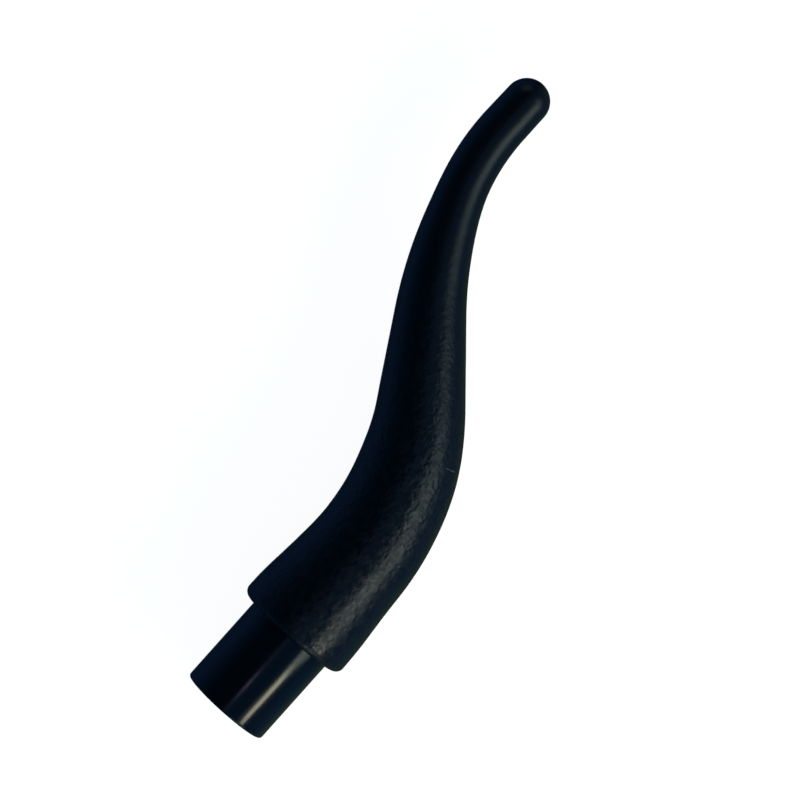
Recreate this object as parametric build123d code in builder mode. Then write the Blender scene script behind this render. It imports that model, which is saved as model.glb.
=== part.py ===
"""Saliva ejector tip: a soft S-curved suction tube that pushes onto a rigid hollow connector.

Frame: the origin is the centre of the collar's rim, where the connector enters the soft body.
+X runs along the connector's axis into the body, the S-curve lies in the XY plane and its
first bend turns towards +Y. +Z is up when the part lies on its side. Millimetres.
"""

import os

from build123d import *

os.makedirs("parts", exist_ok=True)

# Fits
RUNNING_GAP = 0.05  # radial gap wherever one piece turns or slides on another

# Connector: a glossy spigot outside, a narrower tail inside the soft body
SPIGOT_RADIUS = 5.5
SPIGOT_LENGTH = 11.35
SPIGOT_EDGE_ROUND = 0.35
NECK_RADIUS = 5.25
NECK_LENGTH = 1.2
TAIL_RADIUS = 5.0
TAIL_LENGTH = 10.0
TAIL_CHAMFER = 0.4
BORE_RADIUS = 3.4

# Seal rings in grooves round the tail
RING_PLACES = {"rear_seal_ring": 3.9, "front_seal_ring": 8.0}  # distance inside the rim
GROOVE_WIDTH = 1.3
GROOVE_FLOOR_RADIUS = 4.1

# Debris screen, a cup that sits in a recess in the connector's mouth
SCREEN_RECESS_RADIUS = 4.3
SCREEN_RECESS_DEPTH = 2.7
SCREEN_LENGTH = 2.4
SCREEN_WALL = 0.9
SCREEN_FLOOR = 0.6
SCREEN_HOLE_RADIUS = 0.42
SCREEN_HOLE_RINGS = ((1.35, 6), (2.55, 12))  # radius of each ring of holes, and how many
SCREEN_NIB_RADIUS = 0.6

# Soft body: a collar, then an S-curve that tapers to a domed tip
COLLAR_RADIUS = 7.2
COLLAR_HEAD = 1.4
COLLAR_ROUND = 1.0
COUNTERBORE_RADIUS = 5.72
SOCKET_RADIUS = 5.1
SOCKET_DEPTH = 11.5
FIRST_STRAIGHT = 10.65
FIRST_BEND_RADIUS = 31.3
FIRST_BEND_TURN = 35.9
MIDDLE_STRAIGHT = 10.7
SECOND_BEND_RADIUS = 51.0
SECOND_BEND_TURN = 16.2
THIRD_BEND_RADIUS = 27.0
THIRD_BEND_TURN = 20.6
LAST_STRAIGHT = 3.6  # to the centre of the domed end

# Radius of the soft body at a few distances from the rim, straight tapers between them
BODY_TAPER = (
    (0.0, COLLAR_RADIUS),
    (2.85, COLLAR_RADIUS),
    (9.25, 6.66),
    (24.05, 5.87),
    (29.85, 5.22),
    (54.25, 2.99),
    (57.25, 2.86),
    (68.65, 2.7),
)
BODY_SECTIONS = 24

# Suction passage through the soft body, and the inlets under its tip
LUMEN_TAPER = ((SOCKET_DEPTH, BORE_RADIUS), (54.25, 1.5), (68.65, 1.3))
LUMEN_SECTIONS = 16
INLET_RADIUS = 0.9
INLET_PLACES = (57.7, 61.7, 65.7)

# Wire moulded into the wall, so that the bent tube keeps its curve
WIRE_RADIUS = 0.3
WIRE_START = 14.0
WIRE_END = 64.0
WIRE_SECTIONS = 16


def along(taper, distance):
    """Radius at a distance from the rim, on the straight line between its two stations."""
    for (start, radius_in), (end, radius_out) in zip(taper, taper[1:]):
        if distance <= end:
            share = (distance - start) / (end - start)
            return radius_in + share * (radius_out - radius_in)
    return taper[-1][1]


def spaced(first, last, count):
    """Evenly spaced distances from first to last, both included."""
    return [first + (last - first) * step / (count - 1) for step in range(count)]


# Centreline of the soft body: straights joined by tangent arcs
with BuildLine() as centreline:
    into_body = Line((0, 0), (FIRST_STRAIGHT, 0))
    first_bend = JernArc(into_body @ 1, into_body % 1, FIRST_BEND_RADIUS, FIRST_BEND_TURN)
    middle = Line(first_bend @ 1, first_bend @ 1 + (first_bend % 1) * MIDDLE_STRAIGHT)
    second_bend = JernArc(middle @ 1, middle % 1, SECOND_BEND_RADIUS, -SECOND_BEND_TURN)
    third_bend = JernArc(second_bend @ 1, second_bend % 1, THIRD_BEND_RADIUS, -THIRD_BEND_TURN)
    Line(third_bend @ 1, third_bend @ 1 + (third_bend % 1) * LAST_STRAIGHT)
route = centreline.wire()
ROUTE_LENGTH = route.length


def across(distance):
    """Plane square to the centreline at a distance from the rim, its own x pointing up."""
    at = route.position_at(distance, position_mode=PositionMode.LENGTH)
    ahead = route.tangent_at(distance, position_mode=PositionMode.LENGTH)
    return Plane(origin=at, x_dir=(0, 0, 1), z_dir=ahead)


def wire_offset(distance):
    """Middle of the wall, measured from the centreline."""
    return (along(BODY_TAPER, distance) + along(LUMEN_TAPER, distance)) / 2


def finish(piece, name):
    piece.part.label = name
    export_step(piece.part, f"parts/{name}.step")


# Rigid connector
with BuildPart() as suction_connector:
    with BuildSketch(Plane.YZ.offset(-SPIGOT_LENGTH)):
        Circle(SPIGOT_RADIUS)
    extrude(amount=SPIGOT_LENGTH)
    fillet(edges().group_by(Axis.X)[0], SPIGOT_EDGE_ROUND)
    with BuildSketch(Plane.YZ):
        Circle(NECK_RADIUS)
    extrude(amount=NECK_LENGTH)
    with BuildSketch(Plane.YZ.offset(NECK_LENGTH)):
        Circle(TAIL_RADIUS)
    extrude(amount=TAIL_LENGTH)
    chamfer(edges().group_by(Axis.X)[-1], TAIL_CHAMFER)
    for place in RING_PLACES.values():
        with BuildSketch(Plane.YZ.offset(place - GROOVE_WIDTH / 2)):
            Circle(TAIL_RADIUS + RUNNING_GAP)
            Circle(GROOVE_FLOOR_RADIUS, mode=Mode.SUBTRACT)
        extrude(amount=GROOVE_WIDTH, mode=Mode.SUBTRACT)
    with BuildSketch(Plane.YZ.offset(-SPIGOT_LENGTH)):
        Circle(BORE_RADIUS)
    extrude(amount=SPIGOT_LENGTH + NECK_LENGTH + TAIL_LENGTH, mode=Mode.SUBTRACT)
    with BuildSketch(Plane.YZ.offset(-SPIGOT_LENGTH)):
        Circle(SCREEN_RECESS_RADIUS)
    extrude(amount=SCREEN_RECESS_DEPTH, mode=Mode.SUBTRACT)
finish(suction_connector, "suction_connector")

# Seal rings: each fills its groove and just clears the socket it seals
ring_inside = GROOVE_FLOOR_RADIUS + RUNNING_GAP
ring_outside = SOCKET_RADIUS - RUNNING_GAP
ring_section_radius = (ring_outside - ring_inside) / 2
for ring_name, place in RING_PLACES.items():
    with BuildPart() as seal_ring:
        with Locations(Plane.YZ.offset(place)):
            Torus(ring_inside + ring_section_radius, ring_section_radius)
    finish(seal_ring, ring_name)

# Debris screen: a perforated cup with a nib to pull it out by
screen_radius = SCREEN_RECESS_RADIUS - RUNNING_GAP
screen_floor_back = SCREEN_RECESS_DEPTH - RUNNING_GAP - SPIGOT_LENGTH
with BuildPart() as debris_screen:
    with BuildSketch(Plane.YZ.offset(screen_floor_back - SCREEN_LENGTH)):
        Circle(screen_radius)
        Circle(screen_radius - SCREEN_WALL, mode=Mode.SUBTRACT)
        Circle(SCREEN_NIB_RADIUS)
    extrude(amount=SCREEN_LENGTH)
    with BuildSketch(Plane.YZ.offset(screen_floor_back - SCREEN_FLOOR)):
        Circle(screen_radius)
        for ring_radius, hole_count in SCREEN_HOLE_RINGS:
            with PolarLocations(ring_radius, hole_count):
                Circle(SCREEN_HOLE_RADIUS, mode=Mode.SUBTRACT)
    extrude(amount=SCREEN_FLOOR)
finish(debris_screen, "debris_screen")

# Shape wire, on the outer side of the first bend
with BuildPart() as shape_wire:
    for distance in spaced(WIRE_START, WIRE_END, WIRE_SECTIONS):
        with BuildSketch(across(distance)):
            with Locations((0, wire_offset(distance))):
                Circle(WIRE_RADIUS)
    loft()
finish(shape_wire, "shape_wire")

# Soft body
with BuildPart() as curved_body:
    with BuildSketch(Plane.YZ):
        Circle(COLLAR_RADIUS)
    extrude(amount=COLLAR_HEAD)
    fillet(edges().group_by(Axis.X)[0], COLLAR_ROUND)
    for distance in spaced(COLLAR_HEAD, ROUTE_LENGTH, BODY_SECTIONS):
        with BuildSketch(across(distance)):
            Circle(along(BODY_TAPER, distance))
    loft()
    with Locations(across(ROUTE_LENGTH)):
        Sphere(along(BODY_TAPER, ROUTE_LENGTH))
    # socket for the connector's tail, with a wider mouth that leaves a thin gap round the spigot
    with BuildSketch(Plane.YZ):
        Circle(COUNTERBORE_RADIUS)
    extrude(amount=NECK_LENGTH + RUNNING_GAP, mode=Mode.SUBTRACT)
    with BuildSketch(Plane.YZ):
        Circle(SOCKET_RADIUS)
    extrude(amount=SOCKET_DEPTH, mode=Mode.SUBTRACT)
    # suction passage, its closed end and its inlets
    for distance in spaced(SOCKET_DEPTH - RUNNING_GAP, ROUTE_LENGTH, LUMEN_SECTIONS):
        with BuildSketch(across(distance)):
            Circle(along(LUMEN_TAPER, distance))
    loft(mode=Mode.SUBTRACT)
    with Locations(across(ROUTE_LENGTH)):
        Sphere(along(LUMEN_TAPER, ROUTE_LENGTH), mode=Mode.SUBTRACT)
    for distance in INLET_PLACES:
        with BuildSketch(Plane(origin=across(distance).origin, z_dir=(0, 0, -1))):
            Circle(INLET_RADIUS)
        extrude(amount=COLLAR_RADIUS, mode=Mode.SUBTRACT)
    add(shape_wire.part, mode=Mode.SUBTRACT)
finish(curved_body, "curved_body")
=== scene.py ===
"""Looks of the saliva ejector tip: a matte rubber S-curved tube on a polished hollow connector.

Lengths are millimetres up to where they reach a mesh or a node, and metres in the studio.
"""

import math

import bpy
import numpy as np
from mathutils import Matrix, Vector, noise


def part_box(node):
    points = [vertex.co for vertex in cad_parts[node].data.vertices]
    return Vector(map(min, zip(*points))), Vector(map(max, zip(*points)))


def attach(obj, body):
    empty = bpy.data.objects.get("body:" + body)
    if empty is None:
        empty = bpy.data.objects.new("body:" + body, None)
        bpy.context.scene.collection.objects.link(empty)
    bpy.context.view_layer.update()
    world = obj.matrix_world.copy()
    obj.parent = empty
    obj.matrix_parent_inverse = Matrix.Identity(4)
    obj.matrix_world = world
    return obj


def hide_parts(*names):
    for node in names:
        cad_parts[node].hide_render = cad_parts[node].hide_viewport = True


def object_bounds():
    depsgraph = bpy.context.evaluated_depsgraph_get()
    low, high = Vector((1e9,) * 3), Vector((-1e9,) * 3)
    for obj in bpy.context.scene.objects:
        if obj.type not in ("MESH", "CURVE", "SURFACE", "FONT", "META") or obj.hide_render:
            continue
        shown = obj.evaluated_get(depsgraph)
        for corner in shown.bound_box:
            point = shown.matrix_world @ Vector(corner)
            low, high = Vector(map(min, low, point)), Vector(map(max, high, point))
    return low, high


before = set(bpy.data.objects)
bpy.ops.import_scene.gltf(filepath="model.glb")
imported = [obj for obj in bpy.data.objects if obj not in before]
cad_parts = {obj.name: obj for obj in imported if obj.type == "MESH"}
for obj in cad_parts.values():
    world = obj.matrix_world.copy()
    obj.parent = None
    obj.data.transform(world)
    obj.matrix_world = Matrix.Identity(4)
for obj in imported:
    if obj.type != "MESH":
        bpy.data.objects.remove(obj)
CAD_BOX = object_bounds()
MM = 0.001


def bend(radius, turn):
    """Arc of a route as (length, turn in degrees), to the left where the turn is positive."""
    return radius * math.radians(abs(turn)), turn


# Soft body. Its centreline is straights joined by tangent arcs, as (length, turn), and its
# tapers are (distance from the collar's rim, radius)
ROUTE = ((10.65, 0), bend(31.3, 35.9), (10.7, 0), bend(51.0, -16.2), bend(27.0, -20.6), (3.6, 0))
ROUTE_LENGTH = sum(length for length, turn in ROUTE)
BODY_TAPER = (
    (0.0, 7.2),
    (2.85, 7.2),
    (9.25, 6.66),
    (24.05, 5.87),
    (29.85, 5.22),
    (54.25, 2.99),
    (57.25, 2.86),
    (68.65, 2.7),
)
LUMEN_TAPER = ((11.5, 3.4), (54.25, 1.5), (68.65, 1.3))
TAPER_BLEND = 2.0  # how far each change of the body's taper is eased, to each side
COLLAR_ROUND = 1.0
MOUTH_ROUND = 0.14
COUNTERBORE_RADIUS = 5.72
COUNTERBORE_DEPTH = 1.25
SOCKET_RADIUS = 5.1
SOCKET_DEPTH = 11.5
INLET_PLACES = (57.7, 61.7, 65.7)
INLET_RADIUS = 0.9
INLET_LIP = 0.24

# Slight waviness of the body's outside, as (waves per millimetre, height), and the share of it
# by distance from the rim
WIDE_WAVES = (0.16, 0.030)
CLOSE_WAVES = (0.55, 0.014)
CLOSE_WAVES_SHIFT = Vector((7, 3, 1))
WAVES_SHARE = ((0, 0.5), (3, 1), (34, 0.8), (60, 0.25))

# Connector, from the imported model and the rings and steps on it
SPIGOT_LENGTH = -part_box("suction_connector")[0].x / MM
SPIGOT_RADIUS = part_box("suction_connector")[1].z / MM
TAIL_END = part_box("suction_connector")[1].x / MM
NECK_RADIUS = 5.25
NECK_LENGTH = 1.2
TAIL_RADIUS = 5.0
TAIL_CHAMFER = 0.4
BORE_RADIUS = 3.4
RECESS_RADIUS = 4.3
RECESS_DEPTH = 2.7
GROOVE_FLOOR_RADIUS = 4.1
GROOVE_WIDTH = 1.3
SPIGOT_EDGE_ROUND = 0.35
RECESS_EDGE_ROUND = 0.12
BORE_EDGE_ROUND = 0.1
SMALL_ROUND = 0.06

# Fineness of the meshes
SHARP_EDGE = 40  # degrees; gentler edges are shaded smooth
LATHE_STEPS = 160
AROUND = 96  # grid steps round the soft body
UNDERSIDE = AROUND * 3 // 4  # the grid step that points straight down
FINE_STEP = 0.16  # between rows where the inlets are
FINE_START, FINE_END = 54.0, 68.1
COARSE_END = 53.7
INLET_CUT = 7  # grid steps from an inlet's centre to its lip
INLET_PATCH = 12  # grid steps from its centre to where the grid is straight again
LIP_LEANS = np.linspace(18, 90, num=5)  # degrees that the rings of an inlet's lip are turned by


def along(taper, distance):
    """Value at a distance, on the straight line between a taper's stations."""
    return float(np.interp(distance, *zip(*taper)))


def body_radius(distance):
    near = np.linspace(distance - TAPER_BLEND, distance + TAPER_BLEND, 9)
    return float(np.mean(np.interp(near, *zip(*BODY_TAPER))))


def lumen_radius(distance):
    return along(LUMEN_TAPER, distance)


def on_route(distance):
    """Point and heading on the centreline. Past the end it runs straight on."""
    x = y = heading = 0.0
    for length, turn in ROUTE:
        run = min(distance, length)
        curving = math.radians(turn) / length
        if curving:
            x += (math.sin(heading + curving * run) - math.sin(heading)) / curving
            y += (math.cos(heading) - math.cos(heading + curving * run)) / curving
        else:
            x += run * math.cos(heading)
            y += run * math.sin(heading)
        heading += curving * run
        distance -= run
        if distance <= 0:
            break
    return x + distance * math.cos(heading), y + distance * math.sin(heading), heading


def place(distance, aside, height):
    """Point beside the centreline, aside to its left and height above it."""
    x, y, heading = on_route(distance)
    return Vector((x - aside * math.sin(heading), y + aside * math.cos(heading), height))


def on_skin(distance, aside):
    """Point on the body's upper surface."""
    return place(distance, aside, math.sqrt(body_radius(distance) ** 2 - aside**2))


def arc(centre, radius, start, end, steps):
    """Points on an arc, both ends included, angles in degrees."""
    turns = np.radians(np.linspace(start, end, steps + 1))
    return [(centre[0] + radius * math.cos(t), centre[1] + radius * math.sin(t)) for t in turns]


def rounded(corners, steps=5):
    """Closed outline through (x, radius, rounding) corners, with each rounding an arc."""
    points = []
    for before, here, after in zip([corners[-1], *corners], corners, [*corners[1:], corners[0]]):
        spot, size = Vector(here[:2]), here[2]
        back = (Vector(before[:2]) - spot).normalized()
        ahead = (Vector(after[:2]) - spot).normalized()
        half = back.angle(ahead) / 2
        middle = spot + (back + ahead).normalized() * size / math.sin(half)
        first = (spot + back * size / math.tan(half) - middle).normalized()
        last = (spot + ahead * size / math.tan(half) - middle).normalized()
        for step in range(steps + 1):
            points.append(tuple(middle + first.slerp(last, step / steps) * size))
    return points


def mesh_object(name, points, faces, **fields):
    """Mesh piece from points in millimetres, without the points that no face uses.

    Each field is one number per point, kept on the mesh for the materials to read.
    """
    used = sorted({corner for face in faces for corner in face})
    number = {old: new for new, old in enumerate(used)}
    corners = [[number[corner] for corner in face] for face in faces]
    mesh = bpy.data.meshes.new(name)
    mesh.from_pydata([Vector(points[old]) * MM for old in used], [], corners)
    mesh.polygons.foreach_set("use_smooth", [True] * len(mesh.polygons))
    mesh.set_sharp_from_angle(angle=math.radians(SHARP_EDGE))
    for field, values in fields.items():
        kept = mesh.attributes.new(field, "FLOAT", "POINT")
        kept.data.foreach_set("value", [values[old] for old in used])
    piece = bpy.data.objects.new(name, mesh)
    bpy.context.collection.objects.link(piece)
    return piece


def lathe(name, outline):
    """Ring-shaped piece turned about the X axis from a closed (x, radius) outline."""
    points, faces = [], []
    for x, radius in outline:
        for step in range(LATHE_STEPS):
            turn = 2 * math.pi * step / LATHE_STEPS
            points.append((x, radius * math.cos(turn), radius * math.sin(turn)))
    for ring in range(len(outline)):
        here, there = ring * LATHE_STEPS, (ring + 1) % len(outline) * LATHE_STEPS
        for step in range(LATHE_STEPS):
            after = (step + 1) % LATHE_STEPS
            faces.append((here + step, here + after, there + after, there + step))
    return mesh_object(name, points, faces)


# ---------------------------------------------------------------- soft body


def outer_rows():
    """Rows of the outside as (distance, radius): the dome, the fine rows, the rest to the rim."""
    dome = arc((0, 0), body_radius(ROUTE_LENGTH), start=4, end=88, steps=16)
    dome = [(ROUTE_LENGTH + x, radius) for x, radius in dome]
    fine = [(d, body_radius(d)) for d in np.arange(FINE_END, FINE_START, -FINE_STEP)]
    coarse = np.linspace(COARSE_END, COLLAR_ROUND + 0.3, num=130)
    coarse = [(d, body_radius(d)) for d in coarse]
    rim_middle = (COLLAR_ROUND, body_radius(0) - COLLAR_ROUND)
    rim = arc(rim_middle, COLLAR_ROUND, start=90, end=180, steps=14)
    return dome, fine, coarse + rim


def inner_rows():
    """Rows of the inside as (distance, radius): from the rim on, the fine rows, the far end."""
    face = [(0.0, radius) for radius in (6.08, 5.96)]
    mouth_middle = (MOUTH_ROUND, COUNTERBORE_RADIUS + MOUTH_ROUND)
    mouth = arc(mouth_middle, MOUTH_ROUND, start=180, end=270, steps=4)
    counterbore = [(d, COUNTERBORE_RADIUS) for d in (0.5, 0.9, 1.2)]
    shoulder = [(COUNTERBORE_DEPTH, radius) for radius in (5.66, 5.4, 5.16)]
    socket = [(d, SOCKET_RADIUS) for d in np.linspace(1.32, SOCKET_DEPTH - 0.1, num=14)]
    floor = [(SOCKET_DEPTH, radius) for radius in (5.0, 4.4, 3.8, 3.46)]
    coarse = np.linspace(SOCKET_DEPTH + 0.1, COARSE_END, num=60)
    coarse = [(d, lumen_radius(d)) for d in coarse]
    fine = [(d, lumen_radius(d)) for d in np.arange(FINE_END, FINE_START, -FINE_STEP)][::-1]
    end = arc((0, 0), lumen_radius(ROUTE_LENGTH), start=88, end=8, steps=8)
    end = [(ROUTE_LENGTH + x, radius) for x, radius in end]
    return face + mouth + counterbore + shoulder + socket + floor + coarse, fine, end


def row_numbers(fine, first):
    """The fine rows' places in the grid, by distance."""
    return {round(distance, 3): first + n for n, (distance, radius) in enumerate(fine)}


def row_near(numbers, inlet, steps):
    """Place in the grid of the row that is some grid steps past an inlet's centre."""
    return numbers[round(inlet + steps * FINE_STEP, 3)]


def eased_patch(numbers, radius_at, hole_radius, spots):
    """Moves the grid points round each inlet, so that its cut ends on a true circle.

    spots collects the new places as {(row, step): (distance, aside)}.
    """
    reach = range(-INLET_PATCH, INLET_PATCH + 1)
    patch = [(i, j) for i in reach for j in reach if max(abs(i), abs(j)) >= INLET_CUT]
    for inlet in INLET_PLACES:
        for i, j in patch:
            level = max(abs(i), abs(j))
            share = (level - INLET_CUT) / (INLET_PATCH - INLET_CUT)
            turn = math.atan2(j, i)
            grow = INLET_PATCH / level
            grid_along = i * grow * FINE_STEP
            grid_aside = radius_at(inlet) * math.sin(2 * math.pi * j * grow / AROUND)
            spots[row_near(numbers, inlet, i), UNDERSIDE + j] = (
                inlet + (1 - share) * hole_radius * math.cos(turn) + share * grid_along,
                (1 - share) * hole_radius * math.sin(turn) + share * grid_aside,
            )


def unevenness(point, distance):
    """Slight hand-moulded waviness of the outside, strongest low on the body."""
    wide = noise.noise(point * WIDE_WAVES[0])
    close = noise.noise(point * CLOSE_WAVES[0] + CLOSE_WAVES_SHIFT)
    return along(WAVES_SHARE, distance) * (WIDE_WAVES[1] * wide + CLOSE_WAVES[1] * close)


def grid_point(distance, radius, step, spot, outside):
    """Place of a grid point, at its row and step or at the spot that an inlet moves it to."""
    if spot:
        where, aside = spot
        reach = body_radius(where) if outside else lumen_radius(where)
        point = place(where, aside, -math.sqrt(max(reach**2 - aside**2, 0)))
    else:
        turn = 2 * math.pi * step / AROUND
        point = place(distance, radius * math.cos(turn), radius * math.sin(turn))
    if outside:
        centre = place(min(distance, ROUTE_LENGTH), 0, 0)
        point = point + (point - centre).normalized() * unevenness(point, distance)
    return point


def square_loop():
    """Grid steps round the edge of a cut, in order of angle."""
    cut = range(-INLET_CUT, INLET_CUT + 1)
    loop = {(i, j) for i in cut for j in cut if max(abs(i), abs(j)) == INLET_CUT}
    return sorted(loop, key=lambda step: math.atan2(step[1], step[0]))


def cut_edge(numbers, inlet, loop):
    """Numbers of the grid points round an inlet's cut."""
    return [row_near(numbers, inlet, i) * AROUND + UNDERSIDE + j for i, j in loop]


def cut_squares(*tables):
    """Grid squares that the inlets take out, as the (row, step) of their first corner."""
    reach = range(-INLET_CUT, INLET_CUT)
    squares = [(i, j) for i in reach for j in reach]
    return {
        (row_near(numbers, inlet, 0) + i, UNDERSIDE + j)
        for numbers in tables
        for inlet in INLET_PLACES
        for i, j in squares
    }


class Skin:
    """The soft body's mesh as it is made. Each point also keeps its distance from the rim."""

    def __init__(self):
        self.points = []
        self.distances = []
        self.faces = []

    def add(self, point, distance):
        """Adds a point and gives its number."""
        self.points.append(point)
        self.distances.append(distance)
        return len(self.points) - 1

    def add_grid(self, rows, outside_count, spots):
        """Points of all rows, the first ones outside and the others inside."""
        for row, (distance, radius) in enumerate(rows):
            for step in range(AROUND):
                spot = spots.get((row, step))
                point = grid_point(distance, radius, step, spot, row < outside_count)
                self.add(point, distance)

    def cover_grid(self, row_count, cuts):
        """Faces between the rows, but for the squares that the inlets cut."""
        for row in range(row_count - 1):
            here, there = row * AROUND, (row + 1) * AROUND
            for step in range(AROUND):
                if (row, step) in cuts:
                    continue
                after = (step + 1) % AROUND
                self.faces.append((here + step, there + step, there + after, here + after))

    def close_end(self, distance, row, outside):
        """A fan of faces from the row beside a domed end to the dome's middle."""
        middle = self.add(place(distance, 0, 0), distance)
        for step in range(AROUND):
            here, after = row * AROUND + step, row * AROUND + (step + 1) % AROUND
            self.faces.append((here, after, middle) if outside else (after, here, middle))

    def add_lip_ring(self, inlet, lean, loop):
        """Ring of points on an inlet's rounded lip, where it has turned inwards by that angle."""
        radius = INLET_RADIUS + INLET_LIP * (1 - math.sin(lean))
        sink = INLET_LIP * (1 - math.cos(lean))
        ring = []
        for i, j in loop:
            turn = math.atan2(j, i)
            where, aside = inlet + radius * math.cos(turn), radius * math.sin(turn)
            height = sink - math.sqrt(body_radius(where) ** 2 - aside**2)
            ring.append(self.add(place(where, aside, height), where))
        return ring

    def add_inlet_walls(self, outer_numbers, inner_numbers):
        """Walls of the inlets: a rounded lip, then a straight way into the passage."""
        loop = square_loop()
        for inlet in INLET_PLACES:
            rings = [cut_edge(outer_numbers, inlet, loop)]
            for lean in np.radians(LIP_LEANS):
                rings.append(self.add_lip_ring(inlet, lean, loop))
            rings.append(cut_edge(inner_numbers, inlet, loop))
            for upper, lower in zip(rings, rings[1:]):
                for n in range(len(loop)):
                    after = (n + 1) % len(loop)
                    self.faces.append((upper[n], lower[n], lower[after], upper[after]))


def curved_body_skin():
    """The soft body as one closed mesh, outside and inside, with its inlets cut through."""
    dome, outer_fine, outer_rest = outer_rows()
    inner_start, inner_fine, inner_end = inner_rows()
    outer = dome + outer_fine + outer_rest
    rows = outer + inner_start + inner_fine + inner_end
    outer_numbers = row_numbers(outer_fine, len(dome))
    inner_numbers = row_numbers(inner_fine, len(outer) + len(inner_start))

    spots = {}
    eased_patch(outer_numbers, body_radius, INLET_RADIUS + INLET_LIP, spots)
    eased_patch(inner_numbers, lumen_radius, INLET_RADIUS, spots)

    skin = Skin()
    skin.add_grid(rows, len(outer), spots)
    skin.cover_grid(len(rows), cut_squares(outer_numbers, inner_numbers))
    skin.close_end(ROUTE_LENGTH + body_radius(ROUTE_LENGTH), 0, outside=True)
    skin.close_end(ROUTE_LENGTH + lumen_radius(ROUTE_LENGTH), len(rows) - 1, outside=False)
    skin.add_inlet_walls(outer_numbers, inner_numbers)
    shares = [distance / ROUTE_LENGTH for distance in skin.distances]
    return mesh_object("curved_body_skin", skin.points, skin.faces, distance=shares)


# ---------------------------------------------------------------- connector


def groove_corners(ring):
    """Corners of the groove in the tail that a seal ring sits in."""
    low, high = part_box(ring)
    middle = (low.x + high.x) / 2 / MM
    start, end = middle - GROOVE_WIDTH / 2, middle + GROOVE_WIDTH / 2
    return [
        (start, TAIL_RADIUS, SMALL_ROUND),
        (start, GROOVE_FLOOR_RADIUS, SMALL_ROUND),
        (end, GROOVE_FLOOR_RADIUS, SMALL_ROUND),
        (end, TAIL_RADIUS, SMALL_ROUND),
    ]


def connector_outline():
    return rounded([
        (-SPIGOT_LENGTH, RECESS_RADIUS, RECESS_EDGE_ROUND),
        (-SPIGOT_LENGTH, SPIGOT_RADIUS, SPIGOT_EDGE_ROUND),
        (0, SPIGOT_RADIUS, SMALL_ROUND),
        (0, NECK_RADIUS, SMALL_ROUND),
        (NECK_LENGTH, NECK_RADIUS, SMALL_ROUND),
        (NECK_LENGTH, TAIL_RADIUS, SMALL_ROUND),
        *groove_corners("rear_seal_ring"),
        *groove_corners("front_seal_ring"),
        (TAIL_END - TAIL_CHAMFER, TAIL_RADIUS, SMALL_ROUND),
        (TAIL_END, TAIL_RADIUS - TAIL_CHAMFER, SMALL_ROUND),
        (TAIL_END, BORE_RADIUS, BORE_EDGE_ROUND),
        (RECESS_DEPTH - SPIGOT_LENGTH, BORE_RADIUS, SMALL_ROUND),
        (RECESS_DEPTH - SPIGOT_LENGTH, RECESS_RADIUS, SMALL_ROUND),
    ])


# ---------------------------------------------------------------- materials


class Tree:
    """A short way to fill a node tree."""

    def __init__(self, node_tree):
        self.tree = node_tree

    def add(self, kind, **settings):
        node = self.tree.nodes.new(kind)
        for key, value in settings.items():
            setattr(node, key, value)
        return node

    def link(self, source, target):
        self.tree.links.new(source, target)

    def math(self, operation, *values):
        node = self.add("ShaderNodeMath", operation=operation)
        for number, value in enumerate(values):
            if isinstance(value, (int, float)):
                node.inputs[number].default_value = value
            else:
                self.link(value, node.inputs[number])
        return node.outputs[0]

    def vector(self, operation, *values):
        node = self.add("ShaderNodeVectorMath", operation=operation)
        for number, value in enumerate(values):
            if isinstance(value, Vector):
                node.inputs[number].default_value = value
            else:
                self.link(value, node.inputs[number])
        return node

    def clamped(self, value):
        node = self.add("ShaderNodeClamp")
        self.link(value, node.inputs["Value"])
        return node.outputs["Result"]

    def spread(self, value, old, new):
        """Eases from the first new number to the second as a value goes through the old range."""
        node = self.add("ShaderNodeMapRange", interpolation_type="SMOOTHSTEP")
        self.link(value, node.inputs["Value"])
        for socket, number in zip(("From Min", "From Max", "To Min", "To Max"), (*old, *new)):
            node.inputs[socket].default_value = number
        return node.outputs["Result"]


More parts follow.
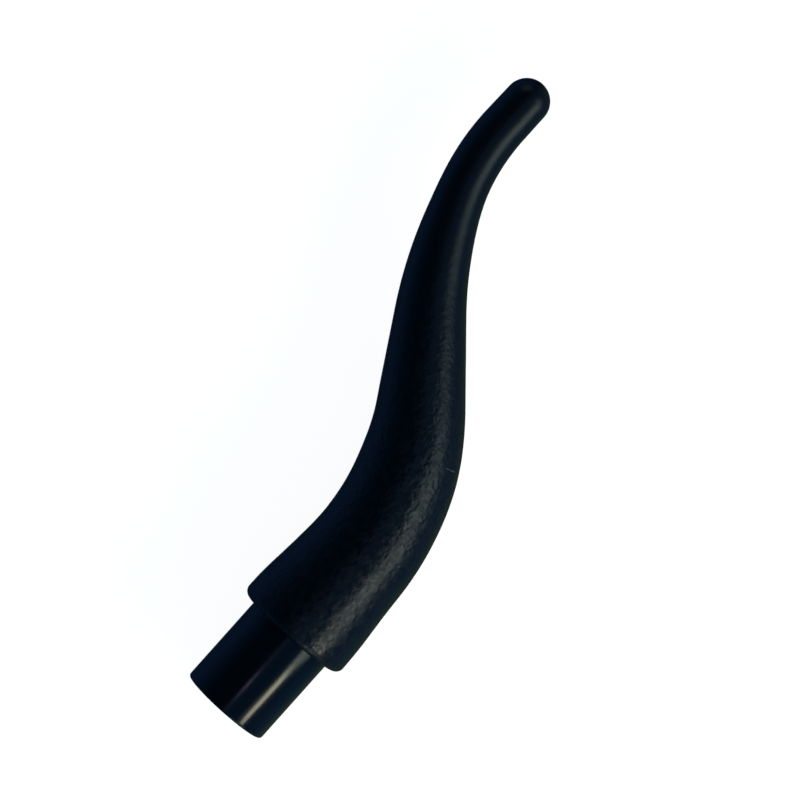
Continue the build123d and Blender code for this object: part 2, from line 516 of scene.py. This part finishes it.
class Surface(Tree):
    """One material. Its sizes are in millimetres."""

    def __init__(self, name):
        self.material = bpy.data.materials.new(name)
        self.material.use_nodes = True
        super().__init__(self.material.node_tree)
        self.shader = self.tree.nodes["Principled BSDF"]
        self.place = self.add("ShaderNodeTexCoord").outputs["Object"]

    def field(self, name):
        """A number that the mesh keeps for each point."""
        return self.add("ShaderNodeAttribute", attribute_name=name).outputs["Fac"]

    def stretched(self, scale):
        """Place on the object, with the pattern drawn out where the scale is under 1."""
        node = self.add("ShaderNodeMapping")
        self.link(self.place, node.inputs["Vector"])
        node.inputs["Scale"].default_value = scale
        return node.outputs[0]

    def noise(self, size, detail=3.0, roughness=0.55, at=None):
        """Noise whose blobs are about that size."""
        node = self.add("ShaderNodeTexNoise")
        self.link(at or self.place, node.inputs["Vector"])
        node.inputs["Scale"].default_value = 1 / (size * MM)
        node.inputs["Detail"].default_value = detail
        node.inputs["Roughness"].default_value = roughness
        return node.outputs["Fac"]

    def near_line(self, start, end, width):
        """1 on the straight line between two points, 0 beyond half its width."""
        start, end = start * MM, end * MM
        run = end - start
        here = self.vector("SUBTRACT", self.place, start).outputs["Vector"]
        share = self.vector("DOT_PRODUCT", here, run / run.length_squared).outputs["Value"]
        foot = self.vector("SCALE", run)
        self.link(self.clamped(share), foot.inputs["Scale"])
        gap = self.vector("DISTANCE", here, foot.outputs["Vector"]).outputs["Value"]
        return self.spread(gap, (0, width / 2 * MM), (1, 0))

    def mix(self, value, low, high):
        """Colour between two others, each a tuple or another mix."""
        node = self.add("ShaderNodeMix", data_type="RGBA")
        self.link(value, node.inputs["Factor"])
        for socket, colour in ((6, low), (7, high)):  # the node's two colour inputs
            if isinstance(colour, tuple):
                node.inputs[socket].default_value = (*colour, 1)
            else:
                self.link(colour, node.inputs[socket])
        return node.outputs[2]

    def colour(self, colour):
        self.link(colour, self.shader.inputs["Base Color"])

    def roughness(self, value):
        self.link(value, self.shader.inputs["Roughness"])

    def bumps(self, *layers):
        """Bump layers, each (height, depth); a depth under 0 goes inwards."""
        normal = None
        for height, depth in layers:
            node = self.add("ShaderNodeBump", invert=depth < 0)
            self.link(height, node.inputs["Height"])
            node.inputs["Distance"].default_value = abs(depth) * MM
            if normal:
                self.link(normal, node.inputs["Normal"])
            normal = node.outputs["Normal"]
        self.link(normal, self.shader.inputs["Normal"])


def body_rubber():
    """Matte moulded elastomer: crinkled low on the body, smoother towards the tip, one nick."""
    m = Surface("body_rubber")
    distance = m.field("distance")
    low = m.spread(distance, (0.35, 0.8), (1.0, 0.15))
    elbow = m.math("MULTIPLY", m.spread(distance, (0.1, 0.25), (0.2, 1.0)), low)
    nick = m.near_line(on_skin(24.67, -4.2), on_skin(24.54, -5.2), width=0.3)
    broken = m.spread(m.noise(0.3, detail=1), (0.35, 0.6), (0.25, 1.0))
    nick = m.math("MULTIPLY", nick, broken)
    black = m.mix(m.noise(2.2, detail=5), (0.0005, 0.0022, 0.0045), (0.0013, 0.0038, 0.0070))
    m.colour(m.mix(nick, black, (0.11, 0.125, 0.13)))
    patches = m.spread(m.noise(0.9), (0.38, 0.62), (-0.06, 0.09))
    m.roughness(m.math("MULTIPLY_ADD", patches, low, 0.33))
    crinkle = m.math("MULTIPLY", m.noise(0.75, detail=0.8, roughness=0.45), low)
    pits = m.math("MULTIPLY", m.noise(0.42, detail=0.5), elbow)
    grain = m.noise(0.16, detail=1)
    m.bumps((crinkle, 0.08), (pits, 0.045), (grain, 0.0022), (nick, -0.04))
    return m.material


def connector_plastic():
    """Polished hard plastic, with faint rub marks along it from being pushed in and pulled out."""
    m = Surface("connector_plastic")
    m.colour(m.mix(m.noise(3.0), (0.0006, 0.0018, 0.0035), (0.0012, 0.0030, 0.0052)))
    rubs = m.noise(0.35, detail=4, roughness=0.6, at=m.stretched((0.05, 1, 1)))
    m.roughness(m.spread(rubs, (0.45, 0.75), (0.15, 0.24)))
    m.bumps((m.noise(2.4, detail=1.5), 0.012), (rubs, 0.001))
    return m.material


def seal_rubber():
    """Smooth moulded rubber, a little dusty."""
    m = Surface("seal_rubber")
    m.colour(m.mix(m.noise(0.6, detail=4), (0.032, 0.031, 0.030), (0.058, 0.056, 0.054)))
    m.roughness(m.spread(m.noise(0.5), (0.3, 0.7), (0.28, 0.42)))
    m.bumps((m.noise(0.09, detail=2), 0.004))
    return m.material


def screen_steel():
    """Pressed stainless steel, dull from scale and cleaning."""
    m = Surface("screen_steel")
    m.shader.inputs["Metallic"].default_value = 1.0
    m.colour(m.mix(m.noise(0.8, detail=4), (0.42, 0.41, 0.39), (0.62, 0.61, 0.59)))
    grain = m.noise(0.12, detail=4, roughness=0.6, at=m.stretched((0.08, 1, 1)))
    m.roughness(m.spread(grain, (0.3, 0.7), (0.24, 0.42)))
    m.bumps((grain, 0.003))
    return m.material


def wire_brass():
    """Drawn brass wire, with fine lines along it."""
    m = Surface("wire_brass")
    m.shader.inputs["Metallic"].default_value = 1.0
    m.colour(m.mix(m.noise(0.9, detail=4), (0.42, 0.26, 0.10), (0.62, 0.42, 0.18)))
    drawn = m.noise(0.06, roughness=0.6, at=m.stretched((0.05, 1, 1)))
    m.roughness(m.spread(drawn, (0.3, 0.7), (0.22, 0.36)))
    m.bumps((drawn, 0.002))
    return m.material


def clothe(piece, material):
    piece.data.materials.clear()
    piece.data.materials.append(material)


# ---------------------------------------------------------------- pieces

body = curved_body_skin()
clothe(body, body_rubber())
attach(body, "body")
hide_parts("curved_body")

connector = lathe("suction_connector_skin", connector_outline())
clothe(connector, connector_plastic())
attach(connector, "connector")
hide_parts("suction_connector")

rubber = seal_rubber()
clothe(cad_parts["rear_seal_ring"], rubber)
clothe(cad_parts["front_seal_ring"], rubber)
clothe(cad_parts["debris_screen"], screen_steel())
clothe(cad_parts["shape_wire"], wire_brass())


# ---------------------------------------------------------------- studio, in metres

FLOOR_SIZE = 3.0
FLOOR_CENTRE = (0.03, 0.01)
CAMERA_HEIGHT = 0.339
CAMERA_LENS = 133
CAMERA_TURN = -48.2  # how far the camera, which looks straight down, is turned, in degrees
VIEW_CENTRE = (0.0283, 0.00846)
LAMP_DISTANCE = 0.45
# The room as the part mirrors it: colours by the angle from overhead, turned about the X axis,
# negative on the lamps' side
ROOM = (
    (-180, (0.030, 0.050, 0.045)),
    (-145, (0.070, 0.110, 0.060)),
    (-110, (0.035, 0.110, 0.250)),
    (-12, (0.015, 0.085, 0.190)),
    (-7, (0.090, 0.130, 0.280)),
    (-2, (0.110, 0.140, 0.290)),
    (2, (0.000, 0.018, 0.034)),
    (50, (0.000, 0.020, 0.038)),
    (75, (0.008, 0.055, 0.130)),
    (105, (0.022, 0.075, 0.220)),
    (145, (0.007, 0.022, 0.050)),
    (180, (0.007, 0.022, 0.050)),
)
# Soft boxes, sized and placed for the highlights that they make on the part: name, bearing and
# climb in degrees, size, glow, colour
LAMPS = (
    # the streak along the spigot, and its fading end by the collar
    ("key_box", -14.7, 31, (0.1058, 0.076), 6.7, (1.0, 0.965, 0.73)),
    ("key_end_box", -9.2, 31, (0.009, 0.13), 1.8, (1.0, 0.97, 0.55)),
    # the broad highlight along the soft body, and its brighter core
    ("long_box", 22, 29, (0.41, 0.24), 0.9, (0.80, 0.96, 0.90)),
    ("long_core_box", 9.5, 30, (0.20, 0.15), 0.82, (0.84, 0.96, 0.86)),
    # the faint violet line along the top of the spigot
    ("overhead_box", -68.5, 76.2, (0.03, 0.03), 2.4, (0.85, 0.68, 1.0)),
    # weak light on the connector's end and on the far side, for other views
    ("near_end_box", -52, 14, (0.24, 0.18), 1.1, (0.92, 0.97, 1.0)),
    ("back_box", 130, 24, (0.30, 0.16), 0.3, (0.85, 0.94, 1.0)),
)


def studio_floor():
    """Plain paper that glows, so that it is as pale as the background, and isn't mirrored."""
    location = (*FLOOR_CENTRE, CAD_BOX[0].z)
    bpy.ops.mesh.primitive_grid_add(size=FLOOR_SIZE, location=location)
    floor = bpy.context.object
    floor.name = "studio_floor"
    floor.visible_glossy = False
    paper = bpy.data.materials.new("studio_paper")
    paper.use_nodes = True
    shader = paper.node_tree.nodes["Principled BSDF"]
    shader.inputs["Base Color"].default_value = (0.5, 0.5, 0.5, 1)
    shader.inputs["Roughness"].default_value = 0.9
    shader.inputs["Emission Color"].default_value = (1, 1, 1, 1)
    shader.inputs["Emission Strength"].default_value = 0.95
    clothe(floor, paper)


def room_colour(world):
    """The room's colour in each direction."""
    parts = world.add("ShaderNodeSeparateXYZ")
    world.link(world.add("ShaderNodeTexCoord").outputs["Generated"], parts.inputs[0])
    turn = world.add("ShaderNodeMapRange")
    turn.inputs["From Min"].default_value = -math.pi
    turn.inputs["From Max"].default_value = math.pi
    angle = world.math("ARCTAN2", parts.outputs["Y"], parts.outputs["Z"])
    world.link(angle, turn.inputs["Value"])
    ramp = world.add("ShaderNodeValToRGB")
    world.link(turn.outputs["Result"], ramp.inputs["Fac"])
    stops = ramp.color_ramp.elements
    while len(stops) < len(ROOM):
        stops.new(0.5)
    for stop, (degrees, colour) in zip(stops, ROOM):
        stop.position = degrees / 360 + 0.5
    # the colours wait until every stop is in place, because a stop that moves can change places
    for stop, (degrees, colour) in zip(stops, ROOM):
        stop.color = (*colour, 1)
    return ramp.outputs["Color"]


def studio_world():
    """White to the camera, and a dim cool room in reflections and in the fill light."""
    studio = bpy.data.worlds.new("studio")
    bpy.context.scene.world = studio
    studio.use_nodes = True
    nodes = studio.node_tree.nodes
    world = Tree(studio.node_tree)
    room = nodes["Background"]
    world.link(room_colour(world), room.inputs["Color"])
    white = world.add("ShaderNodeBackground")
    white.inputs["Color"].default_value = (1, 1, 1, 1)
    both = world.add("ShaderNodeMixShader")
    world.link(world.add("ShaderNodeLightPath").outputs["Is Camera Ray"], both.inputs[0])
    world.link(room.outputs[0], both.inputs[1])
    world.link(white.outputs[0], both.inputs[2])
    world.link(both.outputs[0], nodes["World Output"].inputs["Surface"])


def soft_box(name, bearing, climb, size, glow, colour):
    """Area lamp facing the part. Bearing runs from -Y towards +X, climb up from the floor."""
    lamp = bpy.data.lights.new(name, "AREA")
    lamp.shape = "RECTANGLE"
    lamp.size, lamp.size_y = size
    lamp.energy = glow * math.pi * size[0] * size[1]
    lamp.color = colour
    holder = bpy.data.objects.new(name, lamp)
    bpy.context.collection.objects.link(holder)
    bearing, climb = math.radians(bearing), math.radians(climb)
    flat = math.cos(climb)
    towards = Vector((flat * math.sin(bearing), -flat * math.cos(bearing), math.sin(climb)))
    holder.location = Vector((*VIEW_CENTRE, 0)) + towards * LAMP_DISTANCE
    holder.rotation_euler = towards.to_track_quat("Z", "Y").to_euler()


def studio_camera():
    """Camera straight above the part."""
    camera = bpy.data.cameras.new("camera")
    camera.lens = CAMERA_LENS
    camera.clip_start = 0.01
    holder = bpy.data.objects.new("camera", camera)
    bpy.context.collection.objects.link(holder)
    holder.location = (*VIEW_CENTRE, CAMERA_HEIGHT)
    holder.rotation_euler = (0, 0, math.radians(CAMERA_TURN))
    bpy.context.scene.camera = holder


studio_floor()
studio_world()
for lamp in LAMPS:
    soft_box(*lamp)
studio_camera()
bpy.context.scene.view_settings.view_transform = "Standard"
